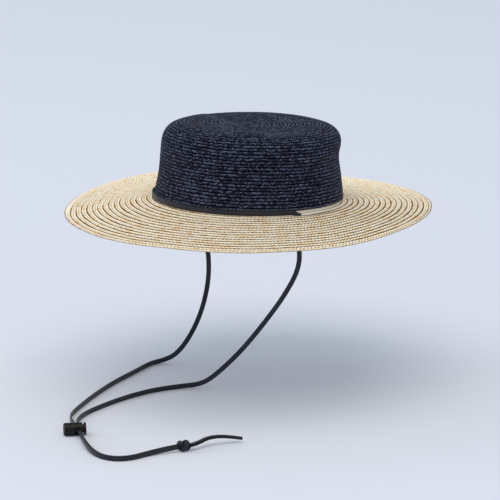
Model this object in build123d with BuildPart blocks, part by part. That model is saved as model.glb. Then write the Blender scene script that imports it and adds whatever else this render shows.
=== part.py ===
from build123d import *
import math
import os
from collections import namedtuple

# A straw sun hat with a leather chin lace, in millimetres. The origin is the centre of the head
# opening, +Z is up and the wearer looks along -Y. The crown sits tipped back about X. Left and right
# in the names are as seen from in front of the hat, so right is at +X.

# Head oval: the inside of the brim's collar, longest from front to back.
head_length = 200.0
head_width = 164.0
oval_spread = 1.444  # distance of each end arc's centre, per millimetre of half length over half width
crown_pitch = 4.3  # degrees that the rear of the crown is lower

# Brim, natural wheat braid: its first row is turned up as a collar inside the crown.
brim_reach = 93.8
brim_drop = 11.2
brim_pitch = 0.7  # degrees that the rear of the rim is lower
brim_thickness = 2.0
collar_height = 6.0
collar_wall = 1.4

# Crown, black braid, sewn over the collar.
crown_height = 79.3
crown_wall = 1.4
crown_hem = 2.5  # height of the crown's lower edge over the brim
crown_flare_height = 7.5
crown_waist_height = 24.0
crown_waist_inset = 2.9
crown_top_inset = 3.9
crown_flare_radius = 12.0
crown_waist_radius = 60.0
crown_shoulder_radius = 20.0
crown_top_flat = 30.0  # how far inside the head oval the flat disc of the top begins
sewn_gap = 0.1  # between two sewn layers

# Sweatband, grosgrain ribbon butted at the back under a short tape.
sweatband_height = 27.0
sweatband_rise = 1.0
sweatband_thickness = 0.7
sweatband_foot_inset = 0.5
sweatband_top_gap = 0.6  # between the sweatband's top and the crown's waist
sweatband_butt = 1.0
join_tape_width = 14.0
join_tape_thickness = 0.4

# Stitches.
thread_thickness = 0.3
stitch_height = 0.7
crown_stitch_pitch = 4.5
crown_stitch_length = 2.3
crown_stitch_rise = 4.2
band_stitch_pitch = 8.0
band_stitch_length = 5.0
band_stitch_rise = 3.0

# Flat leather lace. A stretch that hangs or lies is a round tube of the same section area.
lace_width = 5.0
lace_thickness = 1.5
lace_tube = 3.1
lace_tube_gap = 0.1  # between two tubes, one over the other
lace_lying_gap = 0.05  # between a tube and the floor
lace_clearance = 0.2
lace_rise = 0.5
slit_clearance = 0.3
lace_leg_depth = 3.4  # how far the lace's end reaches below the head opening, through the slit

# What the laces lie on when the hat is on a head form.
floor = -200.0

# Cord lock: a barrel and a sprung plunger, each with a cross hole for the two laces.
lock_heading = 64.0  # degrees from +X to the plunger's end of the lock
lock_barrel_radius = 6.5
lock_wall = 1.3
lock_closed_end = 13.5
lock_open_end = 4.8
lock_end_wall = 2.0
lock_edge_radius = 1.8
lock_hole_width = 5.6
lock_hole_play = 0.7  # height of the hole over the two stacked laces
lock_hole_corner = 1.6
plunger_clearance = 0.25  # all round, in the bore
plunger_neck_depth = 0.65
plunger_flange_radius = 6.2
plunger_flange_thickness = 1.6
plunger_web = 3.2
plunger_travel = 2.1
plunger_end_gap = 0.2  # left between the barrel's mouth and the flange when pressed home
pinch_play = 0.2  # what the two holes leave open at rest, over the laces
spring_wire = 0.7
spring_play = 1.25  # between the coil and the bore
spring_turns = 4
spring_clearance = 0.1

# Knot that ties the two laces together.
knot_radius = 5.3
knot_length = 12.5
knot_edge_radius = 1.4

# ---------------------------------------------------------------- head oval

half_length = head_length / 2
half_width = head_width / 2
end_centre = (half_length - half_width) * oval_spread
side_centre = (half_length - half_width) * (2 * oval_spread - 1) / (2 * (oval_spread - 1))
end_radius = half_length - end_centre
side_radius = half_width + side_centre
join_angle = math.degrees(math.atan2(2 * (oval_spread - 1) * oval_spread, 2 * oval_spread - 1))

OvalArc = namedtuple("OvalArc", "x y radius start span")
left_arc = OvalArc(side_centre, 0, side_radius, 180 - join_angle, 2 * join_angle)
right_arc = OvalArc(-side_centre, 0, side_radius, -join_angle, 2 * join_angle)
rear_arc = OvalArc(0, end_centre, end_radius, join_angle, 180 - 2 * join_angle)
front_arc = OvalArc(0, -end_centre, end_radius, 180 + join_angle, 180 - 2 * join_angle)
oval_arcs = [right_arc, rear_arc, left_arc, front_arc]

crown_plane = Plane.XY.rotated((-crown_pitch, 0, 0))


def oval_sketch(plane, offset):
    """The head oval moved outwards by offset, as a face on a plane."""
    with BuildSketch(plane) as sketch:
        with BuildLine():
            for arc in oval_arcs:
                CenterArc((arc.x, arc.y), arc.radius + offset, arc.start, arc.span)
        make_face()
    return sketch.sketch


def section_at(profile, arc, angle):
    """A profile of (offset from the oval, height) stood up on an arc of the crown's oval."""
    turn = math.radians(angle)
    centre = crown_plane.from_local_coords(Vector(arc.x, arc.y, 0))
    outward = crown_plane.from_local_coords(Vector(math.cos(turn), math.sin(turn), 0))
    stood = Plane(origin=centre, x_dir=outward, z_dir=outward.cross(crown_plane.z_dir))
    return stood.location * Pos(arc.radius, 0) * profile


def arc_axis(arc):
    """The axis that an arc of the crown's oval turns about."""
    return Axis(crown_plane.from_local_coords(Vector(arc.x, arc.y, 0)), crown_plane.z_dir)


def stitch_starts(arc, pitch):
    """Angles at which evenly spaced stitches begin along an arc, and the angle of one pitch."""
    count = round(math.radians(arc.span) * arc.radius / pitch)
    step = arc.span / count
    return [arc.start + step * (index + 0.25) for index in range(count)]


def box_profile(inner, outer, low, high):
    """A rectangle between two offsets and two heights."""
    with BuildSketch() as sketch:
        with Locations(((inner + outer) / 2, (low + high) / 2)):
            Rectangle(outer - inner, high - low)
    return sketch.sketch


# ---------------------------------------------------------------- brim

slit_inset = collar_wall + 2 * sewn_gap + crown_wall + thread_thickness + lace_clearance
lace_offset = slit_inset + lace_thickness / 2
slit_x = half_width + lace_offset

with BuildPart() as brim:
    rim_plane = Plane.XY.offset(-brim_drop).rotated((-brim_pitch, 0, 0))
    rim = oval_sketch(rim_plane, brim_reach)
    rim_foot = oval_sketch(rim_plane.offset(-brim_thickness), brim_reach)
    collar_foot = oval_sketch(crown_plane, 0)
    hollow_top = oval_sketch(crown_plane.offset(-brim_thickness), 0)
    loft([rim_foot, rim, collar_foot], ruled=True)
    loft([rim_foot, hollow_top], ruled=True, mode=Mode.SUBTRACT)
    extrude(oval_sketch(crown_plane, 0), amount=2 * brim_drop, both=True, mode=Mode.SUBTRACT)
    collar = box_profile(0, collar_wall, -brim_thickness, collar_height)
    for arc in oval_arcs:
        revolve(section_at(collar, arc, arc.start), axis=arc_axis(arc), revolution_arc=arc.span)
    with BuildSketch(Plane.XY) as slits:
        with Locations((-slit_x, 0), (slit_x, 0)):
            SlotOverall(lace_width + 2 * slit_clearance, lace_thickness + 2 * slit_clearance, rotation=90)
    extrude(amount=2 * brim_drop, both=True, mode=Mode.SUBTRACT)
brim.part.label = "brim"

# ---------------------------------------------------------------- crown

hem_offset = collar_wall + sewn_gap + crown_wall

with BuildSketch() as crown_profile:
    with BuildLine():
        wall_line = FilletPolyline(
            (hem_offset, crown_hem),
            (hem_offset, crown_flare_height),
            (hem_offset - crown_waist_inset, crown_waist_height),
            (hem_offset - crown_top_inset, crown_height),
            (-crown_top_flat, crown_height),
            radius=[crown_flare_radius, crown_waist_radius, crown_shoulder_radius],
        )
        offset(wall_line, amount=crown_wall, side=Side.LEFT)
    make_face()

with BuildPart() as crown:
    for arc in oval_arcs:
        wall = section_at(crown_profile.sketch, arc, arc.start)
        revolve(wall, axis=arc_axis(arc), revolution_arc=arc.span)
    top_plane = crown_plane.offset(crown_height)
    extrude(oval_sketch(top_plane, -crown_top_flat), amount=-crown_wall)
crown.part.label = "crown"

# ---------------------------------------------------------------- sweatband and its joining tape

sweatband_top = sweatband_rise + sweatband_height
sweatband_top_inset = crown_waist_inset - collar_wall - sewn_gap + sweatband_top_gap
sweatband_slope = (sweatband_top_inset - sweatband_foot_inset) / sweatband_height


def sweatband_profile(outer_gap, thickness, low, high):
    """A thin slanted strip that lies outer_gap inside the sweatband's outer face."""
    low_offset = -sweatband_foot_inset - sweatband_slope * (low - sweatband_rise) - outer_gap
    high_offset = -sweatband_foot_inset - sweatband_slope * (high - sweatband_rise) - outer_gap
    with BuildSketch() as sketch:
        with BuildLine():
            Polyline(
                (low_offset, low),
                (high_offset, high),
                (high_offset - thickness, high),
                (low_offset - thickness, low),
                close=True,
            )
        make_face()
    return sketch.sketch


butt_angle = math.degrees(sweatband_butt / end_radius)
tape_angle = math.degrees(join_tape_width / end_radius)
rear_middle = 90.0

with BuildPart() as sweatband:
    band = sweatband_profile(0, sweatband_thickness, sweatband_rise, sweatband_top)
    for arc in [right_arc, left_arc, front_arc]:
        revolve(section_at(band, arc, arc.start), axis=arc_axis(arc), revolution_arc=arc.span)
    half_rear = rear_arc.span / 2 - butt_angle / 2
    for start in [rear_arc.start, rear_middle + butt_angle / 2]:
        revolve(section_at(band, rear_arc, start), axis=arc_axis(rear_arc), revolution_arc=half_rear)
sweatband.part.label = "sweatband"

with BuildPart() as join_tape:
    tape_gap = sweatband_thickness + sewn_gap
    tape = sweatband_profile(tape_gap, join_tape_thickness, sweatband_rise, sweatband_top)
    tape_start = section_at(tape, rear_arc, rear_middle - tape_angle / 2)
    revolve(tape_start, axis=arc_axis(rear_arc), revolution_arc=tape_angle)
join_tape.part.label = "sweatband_join_tape"

# ---------------------------------------------------------------- stitching

with BuildPart() as crown_stitches:
    stitch_foot = hem_offset + sewn_gap / 2
    crown_stitch = box_profile(
        stitch_foot,
        stitch_foot + thread_thickness,
        crown_stitch_rise,
        crown_stitch_rise + stitch_height,
    )
    for arc in oval_arcs:
        starts = stitch_starts(arc, crown_stitch_pitch)
        stitch_angle = math.degrees(crown_stitch_length / arc.radius)
        sections = [section_at(crown_stitch, arc, start) for start in starts]
        revolve(sections, axis=arc_axis(arc), revolution_arc=stitch_angle)
crown_stitches.part.label = "crown_stitches"

with BuildPart() as band_stitches:
    band_stitch = sweatband_profile(
        sweatband_thickness + join_tape_thickness + 2 * sewn_gap,
        thread_thickness,
        band_stitch_rise,
        band_stitch_rise + stitch_height,
    )
    for arc in oval_arcs:
        starts = stitch_starts(arc, band_stitch_pitch)
        stitch_angle = math.degrees(band_stitch_length / arc.radius)
        sections = [section_at(band_stitch, arc, start) for start in starts]
        revolve(sections, axis=arc_axis(arc), revolution_arc=stitch_angle)
band_stitches.part.label = "sweatband_stitches"

# ---------------------------------------------------------------- lace round the front of the crown

with BuildPart() as crown_lace:
    lace_top = lace_rise + lace_width
    lace = box_profile(slit_inset, slit_inset + lace_thickness, lace_rise, lace_top)
    half_side = right_arc.span / 2
    for arc, start, span in [
        (left_arc, 180, half_side),
        (front_arc, front_arc.start, front_arc.span),
        (right_arc, -join_angle, half_side),
    ]:
        revolve(section_at(lace, arc, start), axis=arc_axis(arc), revolution_arc=span)
    with BuildSketch(Plane.XY.offset(-lace_leg_depth)):
        with Locations((-slit_x, 0), (slit_x, 0)):
            Rectangle(lace_thickness, lace_width)
    extrude(amount=lace_leg_depth + lace_top)
crown_lace.part.label = "lace_round_crown"

# ---------------------------------------------------------------- laces from the brim to the knot

# Points of the two routes. Each lace drops from its slit, comes to lie on the floor, turns
# towards the lock and goes on through it, one lace over the other, to the knot.
lying = floor + lace_tube / 2 + lace_lying_gap
right_slit_to_lock = [
    (slit_x, 0, -lace_leg_depth),
    (slit_x, 0, -30),
    (83, 3.5, -57),
    (70.5, -5.5, -87),
    (52.5, -17.5, -118),
    (30.5, -31, -151),
    (5, -44, -180),
    (-19, -46.5, -196.5),
    (-27.5, -66, lying),
    (-33, -98, lying),
    (-28.5, -134, lying),
    (-18, -170, lying),
    (-5, -203, lying),
    (14, -225.5, floor + 3),
]
left_slit_to_lock = [
    (-slit_x, 0, -lace_leg_depth),
    (-slit_x, 0, -30),
    (-79, 3, -62),
    (-76, 4, -98),
    (-81, -0.5, -134),
    (-91, -8.5, -165),
    (-105, -18.5, -189.5),
    (-117.5, -28.5, lying),
    (-117, -44, lying),
    (-100, -76, lying),
    (-78, -120, lying),
    (-51, -162, lying),
    (-26, -196, lying),
    (-8, -217, floor + 3),
    (13, -231.5, floor + 6.5),
]
tube_stack = lace_tube + lace_tube_gap
half_stack = tube_stack / 2
lace_crossing = Vector(45.2, -243.8, floor + lock_barrel_radius)  # where the laces cross the lock
lock_heading_turn = math.radians(lock_heading)
lock_axis = Vector(math.cos(lock_heading_turn), math.sin(lock_heading_turn), 0)
lace_heading = Vector(math.sin(lock_heading_turn), -math.cos(lock_heading_turn), 0)
straight_before = 14.0
straight_after = 46.0
lock_to_knot = [(116.5, -270.5), (137.5, -266), (146.5, -249), (143.5, -226)]
knot_heading = Vector(0.25, 0.968, 0).normalized()
knot_start = Vector(150, -195.5, floor + knot_radius)
knot_run = 11.0
knot_end = knot_start + knot_heading * knot_length
tail_run = 8.0
tail_points = [(151.5, -160, floor + 8.8), (155, -142, floor + 8), (161, -125, floor + 3.8)]


def lace_route(slit_to_lock, lift, lying_height):
    """One lace's whole route: to the lock, straight through it, and on to the knot's face."""
    lifted = Vector(0, 0, lift)
    through = [lace_crossing - lace_heading * straight_before, lace_crossing + lace_heading * straight_after]
    before_knot = knot_start - knot_heading * knot_run
    return (
        [Vector(*point) for point in slit_to_lock]
        + [point + lifted for point in through]
        + [Vector(x, y, lying_height) for x, y in lock_to_knot]
        + [before_knot + lifted, knot_start + lifted]
    )


def bend_radii(name, points):
    """The largest tangent arc for each corner of a route: 0.45 of its shorter run over tan of half the turn."""
    radii = []
    for before, corner, after in zip(points, points[1:], points[2:]):
        run_in = corner - before
        run_out = after - corner
        half_turn = math.radians(run_in.get_angle(run_out)) / 2
        radii.append(0.45 * min(run_in.length, run_out.length) / math.tan(half_turn))
    print(name, "bend radii", [round(radius, 1) for radius in radii])
    return radii


def lace_tube_along(name, points):
    """A round tube of the lace's section area along straight runs joined by tangent arcs."""
    first_run = points[1] - points[0]
    with BuildPart() as tube:
        with BuildLine():
            route = FilletPolyline(*points, radius=bend_radii(name, points))
        with BuildSketch(Plane(origin=points[0], z_dir=first_run)):
            Circle(lace_tube / 2)
        sweep()
    expected = math.pi * (lace_tube / 2) ** 2 * route.length
    print(name, "length", round(route.length, 1), "volume share", round(tube.part.volume / expected, 4))
    tube.part.label = name
    return tube.part


right_route = lace_route(right_slit_to_lock, -half_stack, lying)
left_route = lace_route(left_slit_to_lock, half_stack, lying + tube_stack)
right_strand = lace_tube_along("lace_right_strand", right_route)
left_strand = lace_tube_along("lace_left_strand", left_route)

tail_route = [knot_end, knot_end + knot_heading * tail_run] + [Vector(*point) for point in tail_points]
tail_lift = Vector(0, 0, half_stack)
right_tail = lace_tube_along("lace_right_tail", [point - tail_lift for point in tail_route])
left_tail = lace_tube_along("lace_left_tail", [point + tail_lift for point in tail_route])

with BuildPart() as knot:
    with BuildSketch(Plane(origin=knot_start, z_dir=knot_heading)):
        Circle(knot_radius)
    extrude(amount=knot_length)
    fillet(knot.edges().filter_by(GeomType.CIRCLE), radius=knot_edge_radius)
knot.part.label = "lace_end_knot"

# ---------------------------------------------------------------- cord lock

lock_bore_radius = lock_barrel_radius - lock_wall
lock_hole_height = 2 * lace_tube + lace_tube_gap + lock_hole_play
plunger_radius = lock_bore_radius - plunger_clearance
plunger_neck_radius = plunger_radius - plunger_neck_depth
spring_radius = lock_bore_radius - spring_play - spring_wire / 2

# Along the lock's axis, from the middle of the barrel's hole towards the plunger's flange.
pinch_width = lace_tube + pinch_play
plunger_gap = plunger_travel + plunger_end_gap
plunger_hole_low = lock_hole_width / 2 - pinch_width
plunger_hole_width = plunger_travel + pinch_width + sewn_gap
plunger_hole_middle = plunger_hole_low + plunger_hole_width / 2
plunger_inner_end = plunger_hole_low - plunger_web
lock_centre = lace_crossing - lock_axis * (plunger_hole_low + pinch_width / 2)
lock_plane = Plane(origin=lock_centre, x_dir=lock_axis, z_dir=lace_heading)
lock_turn_axis = Axis(lock_centre, lock_axis)
spring_foot = -lock_closed_end + lock_end_wall


def cross_hole(middle, width):
    """Cut the rounded hole for the two laces through the piece in hand."""
    with BuildSketch(lock_plane) as hole:
        with Locations((middle, 0)):
            RectangleRounded(width, lock_hole_height, lock_hole_corner)
    return hole.sketch


with BuildPart() as barrel:
    with BuildSketch(lock_plane):
        with BuildLine():
            Polyline(
                (-lock_closed_end, 0),
                (-lock_closed_end, lock_barrel_radius),
                (lock_open_end, lock_barrel_radius),
                (lock_open_end, lock_bore_radius),
                (spring_foot, lock_bore_radius),
                (spring_foot, 0),
                close=True,
            )
        make_face()
    revolve(axis=lock_turn_axis)
    closed_rim = barrel.edges().filter_by(GeomType.CIRCLE).group_by(Axis(lock_centre, lock_axis))[0]
    fillet(closed_rim, radius=lock_edge_radius)
    barrel_hole = cross_hole(0, lock_hole_width)
    extrude(barrel_hole, amount=2 * lock_barrel_radius, both=True, mode=Mode.SUBTRACT)
barrel.part.label = "cord_lock_barrel"

with BuildPart() as plunger:
    neck_start = lock_open_end + plunger_gap / 4
    flange_start = lock_open_end + plunger_gap
    with BuildSketch(lock_plane):
        with BuildLine():
            Polyline(
                (plunger_inner_end, 0),
                (plunger_inner_end, plunger_radius),
                (neck_start, plunger_radius),
                (neck_start, plunger_neck_radius),
                (flange_start, plunger_neck_radius),
                (flange_start, plunger_flange_radius),
                (flange_start + plunger_flange_thickness, plunger_flange_radius),
                (flange_start + plunger_flange_thickness, 0),
                close=True,
            )
        make_face()
    revolve(axis=lock_turn_axis)
    plunger_hole = cross_hole(plunger_hole_middle, plunger_hole_width)
    extrude(plunger_hole, amount=2 * lock_barrel_radius, both=True, mode=Mode.SUBTRACT)
plunger.part.label = "cord_lock_plunger"

with BuildPart() as spring:
    coil_start = spring_foot + spring_wire / 2 + spring_clearance
    coil_room = plunger_inner_end - spring_wire / 2 - spring_clearance - coil_start
    coil_centre = lock_centre + lock_axis * coil_start
    with BuildLine():
        coil = Helix(coil_room / spring_turns, coil_room, spring_radius, center=coil_centre, direction=lock_axis)
    with BuildSketch(Plane(origin=coil @ 0, z_dir=coil % 0)):
        Circle(spring_wire / 2)
    sweep(is_frenet=True)
spring.part.label = "cord_lock_spring"

# ---------------------------------------------------------------- write the pieces

os.makedirs("parts", exist_ok=True)
finished = [
    brim.part,
    crown.part,
    sweatband.part,
    join_tape.part,
    crown_stitches.part,
    band_stitches.part,
    crown_lace.part,
    right_strand,
    left_strand,
    right_tail,
    left_tail,
    knot.part,
    barrel.part,
    plunger.part,
    spring.part,
]
for piece in finished:
    export_step(piece, f"parts/{piece.label}.step")
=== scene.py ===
"""A straw sun hat with a leather chin lace, as worn by a head form, its lace laid out in front.

The crown is one fine black braid and the brim one coarser wheat braid, each sewn in a spiral whose
rows lap like shingles. Every length is in metres. The origin is the centre of the head opening, +Z
is up and the wearer looks along -Y. Right in a name is +X, as seen from in front of the hat.
"""

import logging
import math
from collections.abc import Callable
from dataclasses import dataclass
from enum import Enum

import bpy
import numpy as np
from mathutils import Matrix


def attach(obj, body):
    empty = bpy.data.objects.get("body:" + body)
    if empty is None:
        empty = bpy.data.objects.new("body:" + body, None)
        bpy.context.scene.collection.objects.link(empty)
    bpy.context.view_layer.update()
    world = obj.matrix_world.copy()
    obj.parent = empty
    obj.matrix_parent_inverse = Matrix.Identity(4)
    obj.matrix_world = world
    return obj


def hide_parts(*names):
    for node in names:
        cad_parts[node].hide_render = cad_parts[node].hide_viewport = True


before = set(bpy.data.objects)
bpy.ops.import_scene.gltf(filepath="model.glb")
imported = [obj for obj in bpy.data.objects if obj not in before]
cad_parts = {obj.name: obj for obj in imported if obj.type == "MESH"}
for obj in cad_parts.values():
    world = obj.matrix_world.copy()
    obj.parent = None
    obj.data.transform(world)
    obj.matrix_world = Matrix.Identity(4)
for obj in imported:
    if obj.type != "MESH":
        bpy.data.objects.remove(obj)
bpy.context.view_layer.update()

log = logging.getLogger("straw_hat")

MM = 0.001
TURN = 2 * math.pi
CROWN_PITCH = math.radians(4.3)
FLOOR = -200 * MM
HEAD_RADIUS = 87 * MM  # rough radius of the sweatband, which turns its angles into distances
SAMPLES_PER_TURN = 220
UP = np.array([0, 0, 1.0])

# Control points in metres, and points and outward normals for angles and runs.
Route = list[tuple[float, float, float]]
Surface = Callable[[np.ndarray, np.ndarray], tuple[np.ndarray, np.ndarray]]


# ------------------------------------------------------------------ shapes


def smooth_step(low: float, high: float, values: np.ndarray) -> np.ndarray:
    """Rise from 0 at low to 1 at high along the cubic 3t^2 - 2t^3.

    Args:
        low: Value where the rise begins.
        high: Value where it ends.
        values: Values to look up.

    Returns:
        The height of the step at each value.
    """
    share = np.clip((values - low) / (high - low), 0, 1)
    return share * share * (3 - 2 * share)


def bell(values: np.ndarray, spread: float) -> np.ndarray:
    """A bell curve of height 1: exp(-(v / spread)^2 / 2)."""
    return np.exp(-0.5 * (values / spread) ** 2)


@dataclass(frozen=True)
class HeadOval:
    """The oval of the head opening, two side arcs and two end arcs that meet without a corner.

    A point is named by the angle of its outward normal and its offset outwards. It is the centre of
    the arc that the angle falls on, plus (that arc's radius + offset) along the normal.
    """

    half_length: float = 100 * MM
    half_width: float = 82 * MM
    spread: float = 1.444

    @property
    def end_centre(self) -> float:
        """Distance of each end arc's centre from the middle."""
        return (self.half_length - self.half_width) * self.spread

    @property
    def side_centre(self) -> float:
        """Distance of each side arc's centre from the middle."""
        return (self.half_length - self.half_width) * (2 * self.spread - 1) / (2 * (self.spread - 1))

    @property
    def join_angle(self) -> float:
        """Angle of the normal where a side arc meets an end arc."""
        return math.atan2(2 * (self.spread - 1) * self.spread, 2 * self.spread - 1)

    def place(self, angle: np.ndarray, offset: np.ndarray) -> np.ndarray:
        """Points of the oval moved outwards.

        Args:
            angle: Angles of the outward normal, in radians.
            offset: Offsets outwards, of a shape that goes with the angles.

        Returns:
            The points, with x and y along a new last axis.
        """
        across, along = np.cos(angle), np.sin(angle)
        on_side = np.abs(along) < math.sin(self.join_angle)
        side_radius = self.half_width + self.side_centre
        end_radius = self.half_length - self.end_centre
        radius = np.where(on_side, side_radius, end_radius) + offset
        centre_x = np.where(on_side, -np.sign(across) * self.side_centre, 0)
        centre_y = np.where(on_side, 0, np.sign(along) * self.end_centre)
        return np.stack([centre_x + radius * across, centre_y + radius * along], -1)


def run_along(line: np.ndarray) -> np.ndarray:
    """Distance run from a line's start at each of its points."""
    return np.concatenate([[0], np.cumsum(np.linalg.norm(np.diff(line, axis=0), axis=1))])


def tip_back(points: np.ndarray) -> np.ndarray:
    """Turn points about X by the crown's pitch, so that the rear comes lower.

    Args:
        points: Points or directions, three numbers each.

    Returns:
        The turned points.
    """
    x, y, z = np.moveaxis(points, -1, 0)
    c, s = math.cos(CROWN_PITCH), math.sin(CROWN_PITCH)
    return np.stack([x, y * c + z * s, z * c - y * s], -1)


@dataclass(frozen=True)
class RoundedLine:
    """A line of straight runs whose corners are rounded, sampled evenly along its length.

    Each corner is a quadratic curve that leaves the corner's runs at the same distance before and
    after it: (1-t)^2 a + 2t(1-t) corner + t^2 b.
    """

    points: tuple[tuple[float, float], ...]
    reaches: tuple[float, ...]
    step: float = 0.25 * MM

    def samples(self) -> tuple[np.ndarray, np.ndarray]:
        """Places along the line.

        Returns:
            The distance run at each sample, and the samples' places.
        """
        points = np.array(self.points)
        share = np.linspace(0, 1, 24)[:, None]
        parts = [points[:1]]
        for before, corner, after, reach in zip(points, points[1:], points[2:], self.reaches):
            start = corner + (before - corner) * reach / np.linalg.norm(before - corner)
            end = corner + (after - corner) * reach / np.linalg.norm(after - corner)
            parts.append((1 - share) ** 2 * start + 2 * share * (1 - share) * corner + share**2 * end)
        parts.append(points[-1:])
        line = np.concatenate(parts)
        run = run_along(line)
        even = np.linspace(0, run[-1], int(run[-1] / self.step) + 2)
        return even, np.stack([np.interp(even, run, line[:, i]) for i in range(2)], -1)


def unit(vectors: np.ndarray) -> np.ndarray:
    """Vectors scaled to length 1, along the last axis."""
    return vectors / np.linalg.norm(vectors, axis=-1, keepdims=True)


# ------------------------------------------------------------------ meshes


def loft_grid(rings: int, around: int) -> np.ndarray:
    """Faces of a tube of rings, each with the same number of points around.

    Args:
        rings: Number of rings along the tube.
        around: Number of points round each ring.

    Returns:
        One row of four vertex numbers per face, wound so that a ring that runs anticlockwise, seen
        from the tube's far end, faces outwards.
    """
    ring = np.arange(rings - 1)[:, None] * around
    point = np.arange(around)[None, :]
    beside = (point + 1) % around
    corners = [ring + point, ring + around + point, ring + around + beside, ring + beside]
    return np.stack(np.broadcast_arrays(*corners), -1).reshape(-1, 4)


def build_mesh(
    name: str,
    points: np.ndarray,
    quads: np.ndarray,
    caps: list[np.ndarray] | None = None,
    uv: np.ndarray | None = None,
    values: dict[str, np.ndarray] | None = None,
) -> bpy.types.Object:
    """Put arrays into a smooth-shaded mesh object at the origin.

    Args:
        name: Name of the object.
        points: Vertices, three numbers each.
        quads: Rows of four vertex numbers.
        caps: Vertex numbers of each end face.
        uv: Two numbers for each vertex, kept as a vertex attribute named "lay".
        values: Further vertex attributes, one number per vertex, by name.

    Returns:
        The object, linked to the scene.
    """
    caps = caps or []
    loops = np.concatenate([quads.ravel(), *caps]) if caps else quads.ravel()
    sizes = np.concatenate([np.full(len(quads), 4), [len(cap) for cap in caps]]).astype(int)
    starts = np.concatenate([[0], np.cumsum(sizes)[:-1]]).astype(int)
    mesh = bpy.data.meshes.new(name)
    mesh.vertices.add(len(points))
    mesh.vertices.foreach_set("co", np.asarray(points, np.float32).ravel())
    mesh.loops.add(len(loops))
    mesh.loops.foreach_set("vertex_index", loops.astype(np.int32))
    mesh.polygons.add(len(sizes))
    mesh.polygons.foreach_set("loop_start", starts.astype(np.int32))
    mesh.polygons.foreach_set("use_smooth", np.ones(len(sizes), bool))
    if uv is not None:
        layer = mesh.uv_layers.new(name="lay")
        layer.data.foreach_set("uv", np.asarray(uv, np.float32)[loops].ravel())
    for key, numbers in (values or {}).items():
        attribute = mesh.attributes.new(key, "FLOAT", "POINT")
        attribute.data.foreach_set("value", np.asarray(numbers, np.float32))
    mesh.update(calc_edges=True)
    mesh.validate()
    return put_in_scene(name, mesh)


def put_in_scene(name: str, data: bpy.types.ID) -> bpy.types.Object:
    """Make an object of a mesh, curve, light or camera and link it to the scene.

    Args:
        name: Name of the object.
        data: What it shows.

    Returns:
        The object, at the origin.
    """
    placed = bpy.data.objects.new(name, data)
    bpy.context.scene.collection.objects.link(placed)
    return placed


def smooth_line(route: Route, name: str, steps: int = 12) -> np.ndarray:
    """Points along the smooth line that a route of control points makes.

    Args:
        route: Control points, in metres.
        name: Name for the curve while it is read.
        steps: Points read for each control point.

    Returns:
        The points along the line.
    """
    curve = bpy.data.curves.new(name, "CURVE")
    curve.dimensions = "3D"
    curve.resolution_u = steps
    spline = curve.splines.new("NURBS")
    spline.points.add(len(route) - 1)
    spline.points.foreach_set("co", [number for point in route for number in (*point, 1)])
    spline.order_u = 3
    spline.use_endpoint_u = True
    carrier = put_in_scene(name, curve)
    drawn = bpy.data.meshes.new_from_object(carrier)
    line = np.empty(len(drawn.vertices) * 3)
    drawn.vertices.foreach_get("co", line)
    bpy.data.objects.remove(carrier)
    bpy.data.curves.remove(curve)
    bpy.data.meshes.remove(drawn)
    return line.reshape(-1, 3)


def even_line(line: np.ndarray, step: float) -> tuple[np.ndarray, np.ndarray]:
    """Read a line again at even distances.

    Args:
        line: Points along the line.
        step: Distance between the new points.

    Returns:
        The distance run at each new point, and the new points.
    """
    run = run_along(line)
    even = np.linspace(0, run[-1], max(int(run[-1] / step), 2))
    return even, np.stack([np.interp(even, run, line[:, axis]) for axis in range(3)], -1)


# ------------------------------------------------------------------ finishes


def linear(colour: str, alpha: float = 1.0) -> tuple[float, float, float, float]:
    """An sRGB hex colour such as "d9c3a0" as linear red, green, blue and alpha."""
    parts = [int(colour[i : i + 2], 16) / 255 for i in (0, 2, 4)]
    return (*[p / 12.92 if p <= 0.04045 else ((p + 0.055) / 1.055) ** 2.4 for p in parts], alpha)


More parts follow.
